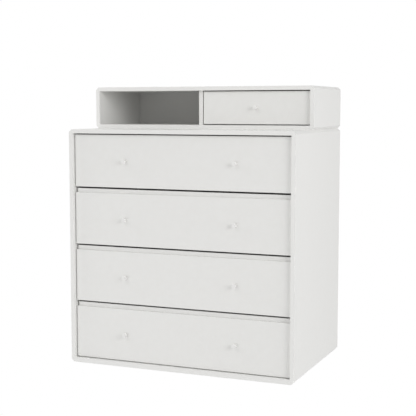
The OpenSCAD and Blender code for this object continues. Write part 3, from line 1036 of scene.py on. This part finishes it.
LEFT = Vector((-1.0, 0.0, 0.0))
RIGHT = Vector((1.0, 0.0, 0.0))
REAR = Vector((0.0, 1.0, 0.0))
WEB_IN_MM = 8.5
CASE_WEB_MM = 1.6
CASE_ROW_MM = 11.0
FRONT_SCREW_IN_MM = 30.0
FRONT_SCREW_SHARES = (0.2, 0.8)
DRAWER_SCREW_SHARES = (0.12, 0.5, 0.86)
CASE_SCREW_SHARES = (0.08, 0.46, 0.9)

case_places = []
for drawer in drawers:
    places = []
    inner_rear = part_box(drawer + "_inner_front")[1].y
    for name in knob_names:
        if body_of[name] == drawer:
            knob_low, knob_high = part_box(name)
            middle = (knob_low + knob_high) / 2
            places.append((Vector((middle.x, inner_rear, middle.z)), REAR))
    left_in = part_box(drawer + "_left_side")[1].x
    right_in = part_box(drawer + "_right_side")[0].x
    side_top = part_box(drawer + "_left_side")[1].z
    floor_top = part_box(drawer + "_bottom")[1].z
    screw_in = FRONT_SCREW_IN_MM * MM
    for share in FRONT_SCREW_SHARES:
        level = floor_top + share * (side_top - floor_top)
        for x in (left_in + screw_in, right_in - screw_in):
            places.append((Vector((x, inner_rear, level)), REAR))
    low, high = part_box(drawer + "_runners")
    level = (low.z + high.z) / 2
    for share in DRAWER_SCREW_SHARES:
        y = low.y + share * (high.y - low.y)
        places.append((Vector((low.x + WEB_IN_MM * MM, y, level)), LEFT))
        places.append((Vector((high.x - WEB_IN_MM * MM, y, level)), RIGHT))
    for share in CASE_SCREW_SHARES:
        y = low.y + share * (high.y - low.y)
        for rise in (-CASE_ROW_MM * MM, CASE_ROW_MM * MM):
            case_places.append((Vector((low.x - CASE_WEB_MM * MM, y, level + rise)), RIGHT))
            case_places.append((Vector((high.x + CASE_WEB_MM * MM, y, level + rise)), LEFT))
    place_copies(screw_head, drawer + "_screws", drawer, "zinc_steel", places)
    print(drawer, len(places), "screws")
place_copies(screw_head, "case_runner_screws", "cabinet", "zinc_steel", case_places)
bpy.data.objects.remove(screw_head)
print(len(case_places), "screws hold the case runners")

# %% Cut the joining screws' recesses
JOIN_HEAD_R_MM = 4.0

node = "joining_screws"
low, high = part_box(node)
made = copy_board(node, "joining_screws_cut")
head_r = JOIN_HEAD_R_MM * MM
for x in (low.x + head_r, high.x - head_r):
    for y in (low.y + head_r, high.y - head_r):
        fuse(made, cross_cutter(Vector((x, y, low.z)), UP), "DIFFERENCE")
select_only(made)
bpy.ops.object.shade_smooth_by_angle(angle=SCREW_SMOOTH)
finish_piece(made, body_of[node], slot_of[node])
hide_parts(node)
print("joining screws", len(made.data.polygons), "faces")

# %% [markdown]
# ## Upper back sheet
# The thin upper sheet lies in its rebate a third of a millimetre deep, and round pins hold
# it along all four edges. Their heads stay inside the rebate, so nothing touches the wall.

# %% Sheet and pins
SHEET_IN_MM = 0.35
PIN_R_MM = 1.6
PIN_H_MM = 0.25
PIN_IN_MM = 2.4
PIN_SIDES = 16
PINS_IN_ROW = 8

sheet = copy_board("upper_back", "upper_back_sheet")
select_only(sheet)
bpy.ops.object.mode_set(mode="EDIT")
pick(sheet, "faces", lambda face: face.normal.y > SQUARE_ON)
bpy.ops.transform.translate(value=(0.0, -SHEET_IN_MM * MM, 0.0))
bpy.ops.object.mode_set(mode="OBJECT")
finish_piece(sheet, "cabinet", "back_sheet")
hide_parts("upper_back")

bpy.ops.object.select_all(action="DESELECT")
bpy.ops.mesh.primitive_cylinder_add(
    vertices=PIN_SIDES, radius=PIN_R_MM * MM, depth=PIN_H_MM * MM,
    location=(0.0, 0.0, PIN_H_MM * MM / 2),
)
pin = bpy.context.object
pin.name = "pin_pattern"
bpy.ops.object.transform_apply(location=True, rotation=False, scale=False)
low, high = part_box("upper_back")
inset = PIN_IN_MM * MM
rear_y = high.y - SHEET_IN_MM * MM
pin_places = []
for i in range(PINS_IN_ROW):
    x = low.x + inset + i / (PINS_IN_ROW - 1) * (high.x - low.x - 2 * inset)
    pin_places.append((Vector((x, rear_y, low.z + inset)), REAR))
    pin_places.append((Vector((x, rear_y, high.z - inset)), REAR))
for x in (low.x + inset, high.x - inset):
    pin_places.append((Vector((x, rear_y, (low.z + high.z) / 2)), REAR))
place_copies(pin, "upper_back_pins", "cabinet", "zinc_steel", pin_places)
bpy.data.objects.remove(pin)
print(len(pin_places), "pins")
